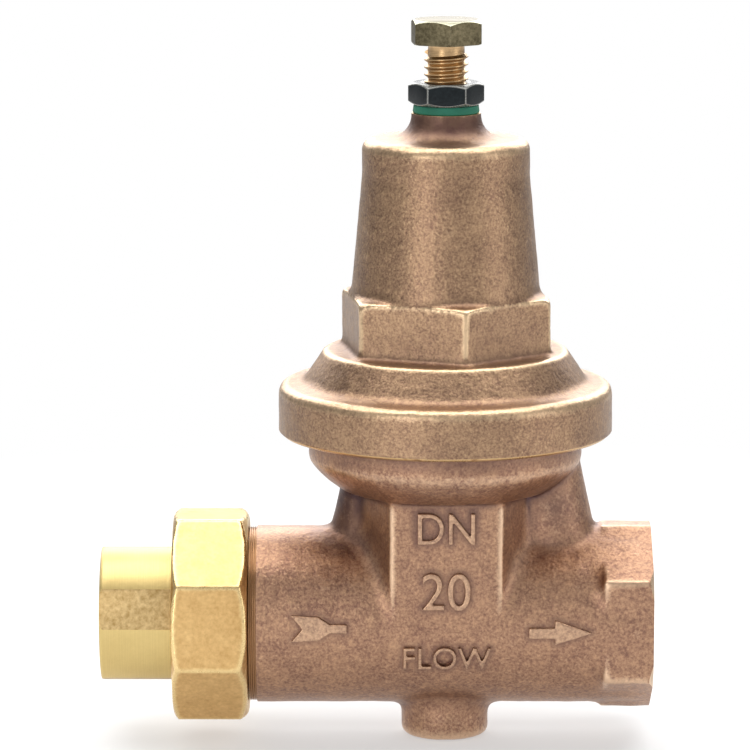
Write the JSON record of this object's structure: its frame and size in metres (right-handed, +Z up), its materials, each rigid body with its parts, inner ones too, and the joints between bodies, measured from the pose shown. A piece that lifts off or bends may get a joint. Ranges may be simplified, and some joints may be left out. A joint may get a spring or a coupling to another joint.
{
  "type": "pressure reducing valve",
  "caption": "Inline water pressure reducing valve with a screwed-on spring bell, an adjusting screw with lock nut, a union inlet and a threaded hexagon outlet.",
  "frame": {"origin": "centre of the outlet port at the outlet's end face", "axes": "+X downstream, out of the outlet; +Z up the spring bell to the adjusting screw; +Y to the back of the valve, away from the marked front panel"},
  "size_m": [0.1199, 0.0726, 0.1572],
  "materials": {
    "cast_bronze": "sand-cast bronze, fine speckle, machined faces",
    "yellow_brass": "turned yellow brass",
    "zinc_steel": "yellow zinc plated steel",
    "black_steel": "black oxide steel",
    "plated_steel": "zinc plated steel",
    "spring_steel": "oil-tempered spring wire",
    "stainless": "satin stainless steel",
    "green_nylon": "green moulded nylon",
    "acetal": "ivory acetal",
    "rubber": "black reinforced rubber"
  },
  "bodies": {
    "valve": {"body": "cast_bronze", "spring_bell": "cast_bronze", "friction_ring": "stainless", "diaphragm": "rubber", "adjusting_spring": "spring_steel", "seat_ring": "stainless", "cage": "yellow_brass", "cage_o_ring": "rubber", "strainer": "stainless", "guide_bush": "acetal"},
    "screw_carrier": {"spring_button": "plated_steel"},
    "screw": {"adjusting_screw": "zinc_steel"},
    "nut_carrier": {"seal_washer": "green_nylon"},
    "jam_nut": {"lock_nut": "black_steel"},
    "stem": {"valve_stem": "yellow_brass", "seat_disc": "rubber", "disc_washer": "stainless", "disc_nut": "yellow_brass", "lower_plate": "yellow_brass", "upper_plate": "stainless", "lock_washer": "stainless", "stem_nut": "stainless"},
    "tail": {"tailpiece": "yellow_brass", "union_gasket": "rubber"},
    "coupling_nut": {"union_nut": "yellow_brass"}
  },
  "joints": [
    {"name": "screw_travel", "type": "slide", "parent": "valve", "child": "screw_carrier", "axis": [0, 0, 1], "range_m": [-0.0048, 0.0024], "deforming": ["adjusting_spring"]},
    {"name": "screw_turn", "type": "hinge", "parent": "screw_carrier", "child": "screw", "pos_m": [-0.0448, 0, 0.1], "axis": [0, 0, 1], "range_deg": [-1080, 540]},
    {"name": "washer_lift", "type": "slide", "parent": "valve", "child": "nut_carrier", "axis": [0, 0, 1], "range_m": [0, 0.0016]},
    {"name": "lock_nut_turn", "type": "hinge", "parent": "nut_carrier", "child": "jam_nut", "pos_m": [-0.0448, 0, 0.1147], "axis": [0, 0, 1], "range_deg": [0, 360]},
    {"name": "stem_lift", "type": "slide", "parent": "valve", "child": "stem", "axis": [0, 0, 1], "range_m": [0, 0.0029], "stiffness_N_per_m": 2000, "springref_m": -0.005, "deforming": ["diaphragm"]},
    {"name": "union_draw", "type": "slide", "parent": "valve", "child": "tail", "axis": [1, 0, 0], "range_m": [-0.0077, 0]},
    {"name": "union_nut_turn", "type": "hinge", "parent": "tail", "child": "coupling_nut", "pos_m": [-0.096, 0, 0], "axis": [1, 0, 0], "range_deg": [-1260, 0]}
  ],
  "couplings": [
    {"joint": "screw_travel", "follows": "screw_turn", "m_per_rad": 0.00025266},
    {"joint": "washer_lift", "follows": "lock_nut_turn", "m_per_rad": 0.00025266},
    {"joint": "union_draw", "follows": "union_nut_turn", "m_per_rad": 0.00035014}
  ]
}
